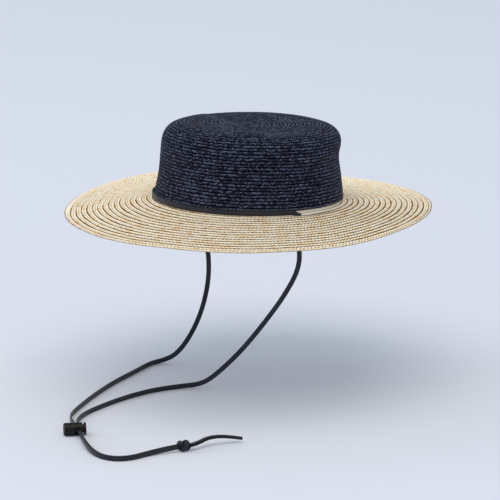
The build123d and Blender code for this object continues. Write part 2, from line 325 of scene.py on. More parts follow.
class Tree:
    """A material's nodes, with one way to add to them."""

    def __init__(self, name: str) -> None:
        """Start a material with a plain surface shader.

        Args:
            name: Name of the real finish.
        """
        self.material = bpy.data.materials.new(name)
        self.material.use_nodes = True
        self.nodes = self.material.node_tree.nodes
        self.links = self.material.node_tree.links
        self.surface = self.nodes["Principled BSDF"]

    def add(self, kind: str, settings: dict | None = None, **inputs: object) -> bpy.types.NodeSocket:
        """Add a node.

        Args:
            kind: The node's type, without its "ShaderNode" beginning.
            settings: Properties to set on the node before its inputs.
            inputs: Values or sockets for its inputs, by name with _ for a space, or in0, in1 by place.

        Returns:
            The node's first output that is in use.
        """
        node = self.nodes.new("ShaderNode" + kind)
        for key, value in (settings or {}).items():
            setattr(node, key, value)
        for key, value in inputs.items():
            place = int(key[2:]) if key[:2] == "in" and key[2:].isdigit() else key.replace("_", " ")
            self.feed(node.inputs[place], value)
        return next(socket for socket in node.outputs if socket.enabled)

    def feed(self, target: bpy.types.NodeSocket, value: object) -> None:
        """Link a socket to another, or set its value.

        Args:
            target: The input.
            value: A socket to link to it, or a plain value.
        """
        if isinstance(value, bpy.types.NodeSocket):
            self.links.new(value, target)
        else:
            target.default_value = value

    def math(self, operation: str, *values: object, clamp: bool = False) -> bpy.types.NodeSocket:
        """Add an arithmetic node, its values in order."""
        inputs = {f"in{place}": value for place, value in enumerate(values)}
        return self.add("Math", {"operation": operation, "use_clamp": clamp}, **inputs)

    def times(self, first: object, second: object) -> bpy.types.NodeSocket:
        """Add a node that multiplies two values or sockets."""
        return self.math("MULTIPLY", first, second)

    def place(self) -> bpy.types.NodeSocket:
        """Each point's place on its object, in metres."""
        return self.add("TexCoord").node.outputs["Object"]

    def noise(self, where: object, size: float, detail: float, **inputs: object) -> bpy.types.NodeSocket:
        """Add a noise whose patches are about as large as size, in metres."""
        return self.add("TexNoise", None, Vector=where, Scale=1 / size, Detail=detail, **inputs)

    def bump(self, height: object, strength: float, depth: float) -> bpy.types.NodeSocket:
        """Add relief of a depth in metres from a height of 0 to 1."""
        return self.add("Bump", None, Height=height, Strength=strength, Distance=depth)

    def rise(self, value: object, low: float, high: float) -> bpy.types.NodeSocket:
        """Add a smooth step from 0 at low to 1 at high."""
        settings = {"interpolation_type": "SMOOTHSTEP"}
        return self.add("MapRange", settings, Value=value, From_Min=low, From_Max=high)

    def ramp(self, factor: object, stops: tuple[tuple[float, str], ...]) -> bpy.types.NodeSocket:
        """Add a colour ramp.

        Args:
            factor: The ramp's input.
            stops: Positions and their hex colours.

        Returns:
            The ramp's colour.
        """
        socket = self.add("ValToRGB", None, Fac=factor)
        elements = socket.node.color_ramp.elements
        for place, (position, colour) in enumerate(stops):
            element = elements[place] if place < 2 else elements.new(position)
            element.position = position
            element.color = linear(colour)
        return socket

    def mix(self, factor: object, first: object, second: object, blend: str = "MIX") -> bpy.types.NodeSocket:
        """Add a colour mix.

        Args:
            factor: Share of the second colour.
            first: A colour or socket.
            second: A colour or socket.
            blend: How the second is laid over the first.

        Returns:
            The mixed colour.
        """
        node = self.nodes.new("ShaderNodeMix")
        node.data_type = "RGBA"
        node.blend_type = blend
        # The sockets for numbers and vectors lie between the factor and the colours.
        for place, value in ((0, factor), (6, first), (7, second)):
            self.feed(node.inputs[place], value)
        return node.outputs[2]

    def finish(self, **inputs: object) -> bpy.types.Material:
        """Set the surface shader's own inputs.

        Args:
            inputs: Values or sockets, by input name with _ for a space.

        Returns:
            The material.
        """
        for key, value in inputs.items():
            self.feed(self.surface.inputs[key.replace("_", " ")], value)
        return self.material


@dataclass(frozen=True)
class Plait:
    """How a flat plait's straws cross: lanes of slanted picks, each lane shifted half a pick."""

    lane: float
    pick: float
    slant: float
    relief: float
    start: float
    softness: float = 0.7
    mean: float = 0.4

    def relief_at(self, along: np.ndarray, across: np.ndarray) -> np.ndarray:
        """Height of the straws over the plait's middle.

        Each pick is a low mound: the product of a sine along it and a sine across its lane, each to
        the power of the softness, less the mean.

        Args:
            along: Distance along the plait.
            across: Distance across it.

        Returns:
            The height at each place.
        """
        lane = (across - self.start) / self.lane
        number = np.floor(lane)
        inside = lane - number
        turned = np.where(np.mod(number, 2) == 0, inside, 1 - inside)
        pick = along / self.pick + 0.5 * number + self.slant * turned
        mound = np.abs(np.sin(math.pi * pick)) ** self.softness * np.sin(math.pi * inside) ** self.softness
        return self.relief * (mound - self.mean)


@dataclass(frozen=True)
class BraidFinish:
    """Plaited straw: one tone per pick, painted shade in the gaps between them, fine fibre along each straw.
    """

    name: str
    plait: Plait
    tones: tuple[tuple[float, str], ...]
    # Painted shade in the gaps between the picks: its colour and how strongly it is laid on.
    gap: str
    gap_shade_strength: float
    # Painted shadow along each row's inner edge, under the row lapped over it: its colour, strength and
    # width.
    lap_shadow: str
    lap_shadow_strength: float
    lap_shadow_width: float
    roughness: float
    specular: float
    fibre_relief: float
    chance: float
    # Shares of painted highlight: on each pick's crest, and along the middle of each row.
    crest: float
    ridge: float
    gap_share: float
    # Painted light on the first row beside the right slit: its colour and strength.
    first_row_light: str = "000000"
    first_row_light_strength: float = 0.0
    # Painted shade in the gap behind the first row beside the slits: its colour.
    slit_gap_shade_colour: str = "000000"
    # Share of that painted shadow that also lies along each row's outer edge.
    outer_lap_shadow: float = 0.6
    drift_size: float = 45 * MM
    fibre: tuple[float, float] = (3.0 * MM, 0.18 * MM)
    fibre_share: float = 0.35

    def material(self) -> bpy.types.Material:
        """Build the straw.

        The lay map's u runs along the braid and v across it, both in metres. A lane's number and a
        pick's number name one straw's crossing. Its tone adds four shares: its own chance, a painted
        highlight on its crest, a painted highlight along the row's ridge and a slow drift. Painted shade
        fills the gaps between the crossings, and painted shadow lies along the rows' lapped edges. Two
        attributes paint light on the first row beside the right slit and paint shade in the gap beside a
        slit.

        Returns:
            The material.
        """
        t = Tree(self.name)
        lay = t.add("UVMap", {"uv_map": "lay"})
        split = t.add("SeparateXYZ", None, Vector=lay).node
        along, across = split.outputs[0], split.outputs[1]
        shown = t.math("SUBTRACT", across, self.plait.start)
        lane = t.math("DIVIDE", shown, self.plait.lane)
        number = t.math("FLOOR", lane)
        inside = t.math("SUBTRACT", lane, number)
        parity = t.math("FLOORED_MODULO", number, 2.0)
        flipped = t.math("ABSOLUTE", t.math("SUBTRACT", parity, inside))
        shift = t.math("ADD", t.times(number, 0.5), t.times(flipped, self.plait.slant))
        pick = t.math("ADD", t.math("DIVIDE", along, self.plait.pick), shift)
        pick_number = t.math("FLOOR", pick)
        within = t.math("SUBTRACT", pick, pick_number)
        cell = t.add("CombineXYZ", None, X=pick_number, Y=number)
        chance = t.add("TexWhiteNoise", {"noise_dimensions": "2D"}, Vector=cell)
        drift = t.noise(lay, self.drift_size, 2.0)
        # Painted highlights: each pick's crest and each row's middle are drawn lighter.
        crest = t.times(*(t.math("SINE", t.times(part, math.pi)) for part in (within, inside)))
        ridge = t.math("SINE", t.times(shown, math.pi / 2 / self.plait.lane), clamp=True)
        slow = 1 - self.chance - self.crest - self.ridge
        by_pick = t.math("MULTIPLY_ADD", chance, self.chance, t.times(crest, self.crest))
        by_row = t.math("MULTIPLY_ADD", ridge, self.ridge, t.times(drift, slow))
        tone = t.ramp(t.math("ADD", by_pick, by_row), self.tones)
        stretched = t.add("Mapping", None, Vector=lay, Scale=(1 / self.fibre[0], 1 / self.fibre[1], 1.0))
        fibre = t.add("TexNoise", None, Vector=stretched, Scale=1.0, Detail=3.0)
        straw = t.mix(t.times(fibre, self.fibre_share), tone, linear("ffffff"), "SOFT_LIGHT")
        # Painted shade in the gaps between the picks and between the lanes.
        end, side = (t.math("ABSOLUTE", t.math("SUBTRACT", part, 0.5)) for part in (within, inside))
        row, gap_start = 2 * self.plait.lane, 0.5 - self.gap_share
        gaps = t.math("MAXIMUM", t.rise(end, gap_start, 0.5), t.rise(side, gap_start, 0.5))
        dark = t.times(gaps, self.gap_shade_strength)
        plaited = t.mix(dark, straw, linear(self.gap))
        # Painted shadow along each row's edges, strongest under the row lapped over it.
        inner = t.rise(shown, self.lap_shadow_width, 0.0)
        outer = t.rise(shown, row - 2 * self.lap_shadow_width, row)
        lapped = t.math("MAXIMUM", inner, t.times(outer, self.outer_lap_shadow))
        lap_shadowed = t.mix(t.times(lapped, self.lap_shadow_strength), plaited, linear(self.lap_shadow))
        # Painted light on the first row beside the right slit, and painted shade in the gap beside it.
        first_row, slit_gap_shade = (t.add("Attribute", {"attribute_name": key}).node.outputs["Fac"]
                             for key in ("first_row_light", "slit_gap_shade"))
        first_row_lit = t.mix(t.times(first_row, self.first_row_light_strength), lap_shadowed, linear(self.first_row_light))
        colour = t.mix(slit_gap_shade, first_row_lit, linear(self.slit_gap_shade_colour))
        bump = t.bump(t.math("SUBTRACT", t.times(fibre, 0.3), dark), 0.9, self.fibre_relief)
        rough = t.math("ADD", t.times(chance, 0.16), self.roughness)
        return t.finish(Base_Color=colour, Roughness=rough, Normal=bump, Specular_IOR_Level=self.specular)


@dataclass(frozen=True)
class LeatherFinish:
    """Drum-dyed leather lace: a fine pebbled grain, its face worn paler, darker towards its edges."""

    name: str = "black_dyed_leather"
    face: str = "0b0d12"
    worn: str = "2a2f3c"
    edge_tone: str = "030304"
    grain: float = 0.9 * MM  # drawn coarser than real grain, which is too fine to show
    roughness: float = 0.40
    flat_reach: float = 1.5 * MM
    edge_reach: float = 2.3 * MM

    def material(self) -> bpy.types.Material:
        """Build the leather: grain cells, a slow change of wear, and edges by the lay map's v.

        Returns:
            The material.
        """
        t = Tree(self.name)
        place = t.place()
        across = t.add("SeparateXYZ", None, Vector=t.add("UVMap", {"uv_map": "lay"})).node.outputs[1]
        # Darker towards the lace's edges, by the lay map's v.
        edge = t.rise(t.math("ABSOLUTE", across), self.flat_reach, self.edge_reach)
        cells = t.add("TexVoronoi", {"feature": "SMOOTH_F1"}, Vector=place, Scale=1 / self.grain)
        wear = t.noise(place, 14 * MM, 3.0)
        faced = t.mix(wear, linear(self.face), linear(self.worn))
        colour = t.mix(t.times(edge, 0.9), faced, linear(self.edge_tone))
        bump = t.bump(cells, 0.35, 0.12 * MM)
        rough = t.math("MULTIPLY_ADD", wear, 0.2, self.roughness - 0.1)
        return t.finish(Base_Color=colour, Roughness=rough, Normal=bump, Specular_IOR_Level=0.3)


@dataclass(frozen=True)
class GrosgrainFinish:
    """Woven viscose ribbon: close ribs across the ribbon, a dull lustre along them."""

    name: str = "black_woven_grosgrain"
    colour: str = "191b22"
    light: str = "31343e"
    rib: float = 1.2 * MM  # drawn coarser than real ribs, which are too fine to show

    def material(self) -> bpy.types.Material:
        """Build the ribbon from ribs that follow its lay map's u, with threads across each rib.

        Returns:
            The material.
        """
        t = Tree(self.name)
        lay = t.add("UVMap", {"uv_map": "lay"})
        ribs = t.add("TexWave", {"wave_type": "BANDS", "bands_direction": "X"}, Vector=lay,
                     Scale=0.314 / self.rib)
        fine = t.add("Mapping", None, Vector=lay, Scale=(1 / (0.5 * MM), 1 / (0.25 * MM), 1.0))
        threads = t.add("TexNoise", None, Vector=fine, Scale=1.0, Detail=2.0)
        colour = t.mix(t.times(ribs, 0.55), linear(self.colour), linear(self.light))
        bump = t.bump(t.math("ADD", ribs, t.times(threads, 0.3)), 0.5, 0.15 * MM)
        return t.finish(
            Base_Color=colour, Roughness=0.62, Normal=bump, Sheen_Weight=0.25, Sheen_Roughness=0.4)


@dataclass(frozen=True)
class ThreadFinish:
    """Twisted polyester sewing thread, black, with a slanted ply and a faint sheen."""

    name: str = "black_twisted_polyester_thread"
    colour: str = "1b1c20"
    worn: str = "3a3c42"
    ply: float = 0.35 * MM

    def material(self) -> bpy.types.Material:
        """Build the thread from slanted bands, one for each ply.

        Returns:
            The material.
        """
        t = Tree(self.name)
        turned = t.add("Mapping", None, Vector=t.place(), Rotation=(0.6, 0.5, 0.7))
        plies = t.add("TexWave", None, Vector=turned, Scale=0.314 / self.ply, Distortion=0.6)
        colour = t.mix(t.times(plies, 0.5), linear(self.colour), linear(self.worn))
        bump = t.bump(plies, 0.5, 0.1 * MM)
        return t.finish(Base_Color=colour, Roughness=0.55, Normal=bump, Sheen_Weight=0.2)


@dataclass(frozen=True)
class MouldedFinish:
    """Injection-moulded acetal: an even spark-eroded grain that scatters its highlights."""

    name: str = "black_moulded_acetal"
    colour: str = "050608"
    scuffed: str = "131419"
    grain: float = 0.25 * MM

    def material(self) -> bpy.types.Material:
        """Build the plastic from a fine grain and a few paler scuffs.

        Returns:
            The material.
        """
        t = Tree(self.name)
        place = t.place()
        grain = t.noise(place, self.grain, 2.0)
        scuffs = t.noise(place, 5 * MM, 6.0, Roughness=0.7)
        scuffed = t.add("MapRange", None, Value=scuffs, From_Min=0.5, From_Max=0.75)
        colour = t.mix(t.times(scuffed, 0.6), linear(self.colour), linear(self.scuffed))
        bump = t.bump(grain, 0.25, 0.05 * MM)
        rough = t.math("MULTIPLY_ADD", grain, 0.18, 0.30)
        return t.finish(Base_Color=colour, Roughness=rough, Normal=bump, Specular_IOR_Level=0.25)


@dataclass(frozen=True)
class SpringFinish:
    """Cold-drawn spring steel wire, bright, its polish a little uneven."""

    name: str = "drawn_spring_steel"
    colour: str = "a9abae"
    dull: str = "77797c"

    def material(self) -> bpy.types.Material:
        """Build the steel: metallic, with a slight change of polish.

        Returns:
            The material.
        """
        t = Tree(self.name)
        polish = t.noise(t.place(), 0.6 * MM, 2.0)
        tint = t.mix(t.times(polish, 0.3), linear(self.colour), linear(self.dull))
        return t.finish(Base_Color=tint, Metallic=1.0, Roughness=t.math("MULTIPLY_ADD", polish, 0.2, 0.2))


@dataclass(frozen=True)
class PaperFinish:
    """Matt coated background paper, cool white."""

    name: str = "matt_background_paper"
    colour: str = "dae1ec"

    def material(self) -> bpy.types.Material:
        """Build the paper: one tone with a faint tooth.

        Returns:
            The material.
        """
        t = Tree(self.name)
        bump = t.bump(t.noise(t.place(), 0.8 * MM, 1.0), 0.03, 0.05 * MM)
        return t.finish(Base_Color=linear(self.colour), Roughness=0.75, Normal=bump, Specular_IOR_Level=0.2)


# ------------------------------------------------------------------ swept ribbons


@dataclass(frozen=True)
class Ribbon:
    """A flat strip with rounded edges, swept along a line."""

    width: float
    thickness: float
    around: int = 16
    squareness: float = 5.0

    def section(self) -> np.ndarray:
        """The section's outline: |x / half width|^n + |y / half thickness|^n = 1, n the squareness.

        Returns:
            Rows of (along the width, along the thickness) as shares of the half sizes.
        """
        angle = np.linspace(0, TURN, self.around, endpoint=False) + math.pi / self.around
        c, s = np.cos(angle), np.sin(angle)
        power = 2 / self.squareness
        return np.stack([np.sign(c) * np.abs(c) ** power, np.sign(s) * np.abs(s) ** power], -1)

    def sweep(
        self,
        name: str,
        line: np.ndarray,
        width_way: np.ndarray,
        width_share: np.ndarray | float = 1.0,
        thickness_share: np.ndarray | float = 1.0,
    ) -> bpy.types.Object:
        """Carry the section along a line: point + width way * x + thickness way * y.

        Args:
            name: Name of the piece.
            line: Points along the middle of the strip.
            width_way: The direction of the width at each point, at right angles to the line or nearly.
            width_share: Share of the full width at each point.
            thickness_share: Share of the full thickness at each point.

        Returns:
            The strip, closed at both ends, with its lay map in metres.
        """
        tangent = unit(np.gradient(line, axis=0))
        wide = unit(width_way - np.sum(width_way * tangent, -1, keepdims=True) * tangent)
        thick = np.cross(tangent, wide)
        outline = self.section()
        widths = np.broadcast_to(width_share, len(line)) * self.width / 2
        depths = np.broadcast_to(thickness_share, len(line)) * self.thickness / 2
        across = outline[None, :, 0] * widths[:, None]
        through = outline[None, :, 1] * depths[:, None]
        points = line[:, None] + wide[:, None] * across[..., None] + thick[:, None] * through[..., None]
        run = run_along(line)
        uv = np.stack(np.broadcast_arrays(run[:, None], across), -1)
        return closed_tube(name, points, uv)


def closed_tube(name: str, rings: np.ndarray, uv: np.ndarray | None = None,
                values: dict[str, np.ndarray] | None = None) -> bpy.types.Object:
    """Skin a stack of rings, close both ends and turn the faces outwards.

    The side that faces out is found from the signed volume: a third of the sum, over the faces, of a
    corner dotted with the face's area vector.

    Args:
        name: Name of the piece.
        rings: Points, by ring and then around.
        uv: A lay map for the points, in the same order.
        values: Vertex attributes, in the same order.

    Returns:
        The piece.
    """
    count, around = rings.shape[:2]
    points = rings.reshape(-1, 3)
    quads = loft_grid(count, around)
    a, b, c, d = (points[quads[:, corner]] for corner in range(4))
    volume = np.sum(a * np.cross(c - a, d - b))
    first = np.arange(around)[::-1]
    last = np.arange(around) + (count - 1) * around
    if volume < 0:
        quads = quads[:, ::-1]
        first, last = first[::-1], last[::-1]
    flat = {key: np.broadcast_to(v, rings.shape[:2]).ravel() for key, v in (values or {}).items()}
    return build_mesh(name, points, quads, [first, last], None if uv is None else uv.reshape(-1, 2), flat)


# ------------------------------------------------------------------ braids


@dataclass(frozen=True)
class SpiralBraid:
    """One flat braid sewn in a spiral, each row's outer edge lapped over the next row."""

    row: float
    lap: float
    thickness: float
    tilt: float
    step: float
    plait: Plait
    wander: float
    seed: int
    roundness: float = 4.0
    phase: float = 0.0
    scallop: float = 0.07
    # Beside the slits, by run and by the sine of the angle: painted light on the first row, and painted shade
    # in the gap behind it.
    first_row_light_end: tuple[float, float] = (3.2 * MM, 5.0 * MM)
    first_row_light_turn: float = 0.1
    first_row_light_spread: float = 0.3
    gap_run: float = 8.2 * MM
    gap_spread: float = 1.6 * MM
    gap_turn: float = 0.16

    @property
    def half_width(self) -> float:
        """Half the braid's own width."""
        return (self.row + self.lap) / 2

    def wind(self, surface: Surface, first: float, last: float, names: list[str]) -> list[bpy.types.Object]:
        """Wind the braid over a surface, from one run to another.

        After t turns the braid's middle is at angle 2 pi t and run row * (t - phase). Its first and
        last turns keep to the first and last run, so that both of its ends lie under or over a
        neighbour. A section point at v across and h up is the surface's point at run + v, moved by h
        along its normal, where h is tilt * v, half the thickness and the plait's relief.

        Args:
            surface: Gives points and normals for angles and runs.
            first: Run of the braid's middle in its first turn.
            last: Run of the braid's middle in its last turn.
            names: A name for each length of the braid, from its inner end.

        Returns:
            The lengths of braid.
        """
        samples = int(SAMPLES_PER_TURN * (last - first) / self.row)
        turns = np.linspace(first / self.row - 1, last / self.row + 1, samples) + self.phase
        middle = surface(TURN * turns, np.clip((turns - self.phase) * self.row, first, last))[0]
        far = run_along(middle)
        rng = np.random.default_rng(self.seed)
        shortest, longest, count = 35 * MM, 160 * MM, 5
        waves = rng.uniform((shortest, 0), (longest, TURN), (count, 2))
        pieces = []
        for place, name in enumerate(names):
            start, end = far[-1] * place / len(names), far[-1] * (place + 1) / len(names)
            along = np.linspace(start, end, int((end - start) / self.step) + 2)
            turn = np.interp(along, far, turns)
            drift = sum(np.sin(TURN * along / length + phase) for length, phase in waves)
            run = np.clip((turn - self.phase) * self.row, first, last) + self.wander * drift / len(waves)
            pieces.append(self.length(name, surface, TURN * turn, run, along))
        return pieces

    def length(self, name: str, surface: Surface, angle: np.ndarray, run: np.ndarray,
               along: np.ndarray) -> bpy.types.Object:
        """Skin one length of braid, as wind describes.

        Args:
            name: Name of the piece.
            surface: Gives points and normals for angles and runs.
            angle: Angle at each section.
            run: Run of the middle at each section.
            along: Distance along the braid at each section.

        Returns:
            The piece, with its lay map, how much painted light its first row takes beside the right slit,
            and how much painted shade lies in the gap where the second row stands apart from the first
            beside the slits.
        """
        top, under = np.linspace(-1, 1, 9), np.linspace(1, -1, 5)[1:-1]
        share = np.concatenate([top, under])
        side = np.concatenate([np.ones(len(top)), -np.ones(len(under))])
        belly = np.where(side > 0, 1 - np.abs(share) ** self.roundness, 0.9) * side
        picks = np.abs(np.sin(math.pi * along / self.plait.pick))[:, None]
        across = share * (1 + self.scallop * picks * np.abs(share) ** 8) * self.half_width
        relief = self.plait.relief_at(along[:, None], across) * (1 - np.abs(share) ** 6)
        height = self.tilt * across + belly * self.thickness / 2 + side * relief
        points, normals = surface(angle[:, None], run[:, None] + across)
        rings = points + normals * height[..., None]
        uv = np.stack(np.broadcast_arrays(along[:, None], across), -1)
        # Painted light on the first row beside the right slit, where it stands up facing the light.
        by_slit = bell(np.sin(angle) - self.first_row_light_turn, self.first_row_light_spread)
        by_right_slit = by_slit * smooth_step(0, self.first_row_light_spread, np.cos(angle))
        first_row_light = (1 - smooth_step(*self.first_row_light_end, run)) * by_right_slit
        # Painted shade in the gap where the second row stands apart from the first beside the slits.
        behind_slit = bell(np.sin(angle) - self.gap_turn, self.gap_turn)
        second = bell(run - self.gap_run, self.gap_spread) * behind_slit
        slit_gap_shade = second[:, None] * smooth_step(1.9 * MM, 0.7 * MM, across)
        return closed_tube(name, rings, uv, {"first_row_light": first_row_light[:, None], "slit_gap_shade": slit_gap_shade})


@dataclass(frozen=True)
class Dent:
    """A soft hollow (or, with a negative depth, a bulge) pressed into the crown."""

    centre: tuple[float, float, float]
    spread: tuple[float, float, float]
    depth: float

    def at(self, points: np.ndarray) -> np.ndarray:
        """How far inwards each point is pressed: depth * exp(-sum(((p - centre) / spread)^2) / 2)."""
        apart = (points - np.array(self.centre)) / np.array(self.spread)
        return self.depth * np.exp(-0.5 * np.sum(apart**2, -1))


@dataclass(frozen=True)
class Fold:
    """A fold line across the top, with the straw behind it sunk and a low ridge along it."""

    start: tuple[float, float]
    end: tuple[float, float]
    onset: float
    reach: float
    depth: float
    ridge: float
    top: float
    below_top: tuple[float, float] = (14 * MM, 3 * MM)
    width_share: float = 0.75

    def at(self, points: np.ndarray) -> np.ndarray:
        """How far inwards each point is pressed.

        With q the distance behind the line and p the distance from its middle along it, it is
        depth * step(0, onset, q) * (1 - step(onset, reach, q)) - ridge * bell(q + onset / 3), all
        times bell(p) and a step that keeps it to the top.

        Args:
            points: Points of the crown before it is tipped back.

        Returns:
            The depth at each point.
        """
        start, end = np.array(self.start), np.array(self.end)
        along = unit(end - start)
        apart = points[..., :2] - (start + end) / 2
        behind = apart @ np.array([-along[1], along[0]])
        beside = apart @ along
        sunk = smooth_step(0, self.onset, behind) * (1 - smooth_step(self.onset, self.reach, behind))
        raised = bell(behind + self.onset / 3, self.onset / 2)
        half = np.linalg.norm(end - start) / 2
        low, high = (self.top - below for below in self.below_top)
        on_top = smooth_step(low, high, points[..., 2])
        return (self.depth * sunk - self.ridge * raised) * bell(beside, half * self.width_share) * on_top


@dataclass(frozen=True)
class Crown:
    """The black crown: a low, flat top with a round shoulder, nipped above a flared hem."""

    oval: HeadOval
    height: float = 79.3 * MM
    hem: float = 2.5 * MM
    flare_height: float = 7.5 * MM
    waist_height: float = 24 * MM
    waist_inset: float = 2.9 * MM
    top_inset: float = 3.9 * MM
    shoulder_reach: float = 25 * MM
    waist_reach: float = 12 * MM
    flare_reach: float = 3 * MM
    disc_offset: float = -12 * MM
    # Real picks are too fine to show, so they are drawn coarser.
    plait: Plait = Plait(lane=1.7 * MM, pick=2.5 * MM, slant=0.9, relief=0.5 * MM, start=-1.25 * MM)
    braid: SpiralBraid = SpiralBraid(
        row=3.4 * MM,
        lap=0.9 * MM,
        thickness=1.9 * MM,
        tilt=0.18,
        step=0.85 * MM,
        plait=plait,
        wander=0.28 * MM,
        seed=11,
        roundness=2.2,
    )
    dents: tuple[Dent | Fold, ...] = (
        Fold(start=(-39 * MM, -24 * MM), end=(64 * MM, -32 * MM), onset=12 * MM, reach=80 * MM,
             depth=5.0 * MM, ridge=1.0 * MM, top=height),
        Dent(centre=(52 * MM, 68 * MM, 47 * MM), spread=(36 * MM, 36 * MM, 11 * MM), depth=4.2 * MM),
        Dent(centre=(70 * MM, -40 * MM, 47 * MM), spread=(26 * MM, 30 * MM, 2.4 * MM), depth=2.6 * MM),
        Dent(centre=(66 * MM, -46 * MM, 56 * MM), spread=(34 * MM, 44 * MM, 5 * MM), depth=-0.9 * MM),
    )

    def profile(self) -> tuple[np.ndarray, np.ndarray]:
        """The wall's side view, from the middle of the top to the hem, as (offset, height).

        Returns:
            The distance run at each sample, and the samples.
        """
        top = self.waist_inset - self.top_inset
        points = (
            (-self.oval.half_width, self.height),
            (top, self.height),
            (0.0, self.waist_height),
            (self.waist_inset, self.flare_height),
            (self.waist_inset, self.hem),
        )
        return RoundedLine(points, (self.shoulder_reach, self.waist_reach, self.flare_reach)).samples()

    def surface(self, angle: np.ndarray, run: np.ndarray) -> tuple[np.ndarray, np.ndarray]:
        """Points and normals of the crown's middle layer.

        A run along the profile gives an offset and a height. Outside disc_offset the point is the
        oval moved by that offset. Inside it, the oval at disc_offset shrinks in proportion towards
        the middle, so that the rows close round one point. The dents then press points inwards.

        Args:
            angle: Angles of the outward normal.
            run: Distances along the profile from the middle of the top.

        Returns:
            The points and their outward normals, tipped back.
        """
        runs, line = self.profile()
        slope = unit(np.gradient(line, axis=0))
        offset, height = (np.interp(run, runs, line[:, axis]) for axis in range(2))
        out, up = np.interp(run, runs, slope[:, 1]), np.interp(run, runs, slope[:, 0])
        half = self.oval.half_width
        shrink = np.clip((half + offset) / (half + self.disc_offset), 0.003, 1)
        angle, offset = np.broadcast_arrays(angle, offset)
        plan = self.oval.place(angle, np.maximum(offset, self.disc_offset)) * shrink[..., None]
        points = np.concatenate([plan, np.broadcast_to(height, angle.shape)[..., None]], -1)
        normals = np.stack([-out * np.cos(angle), -out * np.sin(angle), np.broadcast_to(up, angle.shape)], -1)
        pressed = sum(dent.at(points) for dent in self.dents) + self.braid.thickness
        points = points - normals * pressed[..., None]
        return tip_back(points), tip_back(normals)

    def build(self, finish: bpy.types.Material) -> list[bpy.types.Object]:
        """Wind the crown's braid and dress it.

        Args:
            finish: The black straw.

        Returns:
            The lengths of braid.
        """
        full = self.profile()[0][-1]
        names = [f"crown_braid_{part}" for part in ("top", "side", "base")]
        lengths = self.braid.wind(self.surface, self.braid.row * 0.5, full - self.braid.half_width, names)
        return [settle(length, finish, "hat", "black_braid", "crown") for length in lengths]


@dataclass(frozen=True)
class Brim:
    """The natural brim: a shallow cone round the tipped head oval, its first row turned up inside it."""

    oval: HeadOval
    reach: float = 93.8 * MM
    drop: float = 11.2 * MM
    skin: float = 1.0 * MM
    collar_offset: float = 0.7 * MM
    collar_run: float = -2.4 * MM
    wave_turn: float = math.radians(54)
    waves: tuple[tuple[int, float, float], ...] = (
        (1, -2.1 * MM, -0.6 * MM),
        (2, 0.8 * MM, -1.4 * MM),
        (3, 2.0 * MM, 0.3 * MM),
        (9, 0.25 * MM, 0.2 * MM),
    )
    # Real picks are too fine to show, so they are drawn coarser.
    plait: Plait = Plait(lane=2.8 * MM, pick=4.0 * MM, slant=0.8, relief=0.7 * MM, start=-1.95 * MM)
    braid: SpiralBraid = SpiralBraid(
        row=5.6 * MM,
        lap=1.7 * MM,
        thickness=1.0 * MM,
        tilt=0.14,
        step=1.0 * MM,
        plait=plait,
        wander=0.5 * MM,
        seed=23,
        roundness=3.0,
        phase=0.56,
    )

    def surface(self, angle: np.ndarray, run: np.ndarray) -> tuple[np.ndarray, np.ndarray]:
        """Points and normals of the brim's middle layer.

        From run 0 outwards the point lies at share run / reach between the head oval, tipped back
        with the crown, and the rim below it. The rim rises and falls by the sum of
        a cos(n turn) + b sin(n turn) over the waves (n, a, b), which fades in with share^1.5. For a
        run below 0 the point stands -run above the head oval, as the collar.

        Args:
            angle: Angles of the outward normal.
            run: Offsets outwards from the head oval.

        Returns:
            The points and their normals, upwards on the brim and outwards on the collar.
        """
        angle, run = np.broadcast_arrays(angle, run)
        out, up = np.maximum(run, 0), np.maximum(-run, 0)
        share = out / self.reach
        plan = self.oval.place(angle, out + self.collar_offset * smooth_step(0, 2 * MM, up))
        x, y = np.moveaxis(plan, -1, 0)
        inner_z = -self.oval.place(angle, np.zeros_like(run))[..., 1] * math.sin(CROWN_PITCH)
        turn = np.arctan2(y, x) - self.wave_turn
        wave = sum(a * np.cos(n * turn) + b * np.sin(n * turn) for n, a, b in self.waves)
        z = inner_z + (-self.drop - inner_z) * share + wave * share**1.5 - self.skin * (up == 0) + up
        fall = (self.drop + inner_z) / self.reach
        stood = smooth_step(0, 1.5 * MM, up)
        flat = np.maximum(fall, 0.02) * (1 - stood) + stood
        normals = unit(np.stack([flat * np.cos(angle), flat * np.sin(angle), 1.001 - stood], -1))
        return np.stack([x, y, z], -1), normals

    def build(self, finish: bpy.types.Material) -> list[bpy.types.Object]:
        """Wind the brim's braid, from the collar outwards, and dress it.

        Args:
            finish: The natural straw.

        Returns:
            The lengths of braid.
        """
        names = [f"brim_braid_{part}" for part in ("inner", "middle", "outer")]
        last = self.reach - self.braid.half_width
        lengths = self.braid.wind(self.surface, self.collar_run, last, names)
        return [settle(length, finish, "hat", "natural_braid", "brim") for length in lengths]


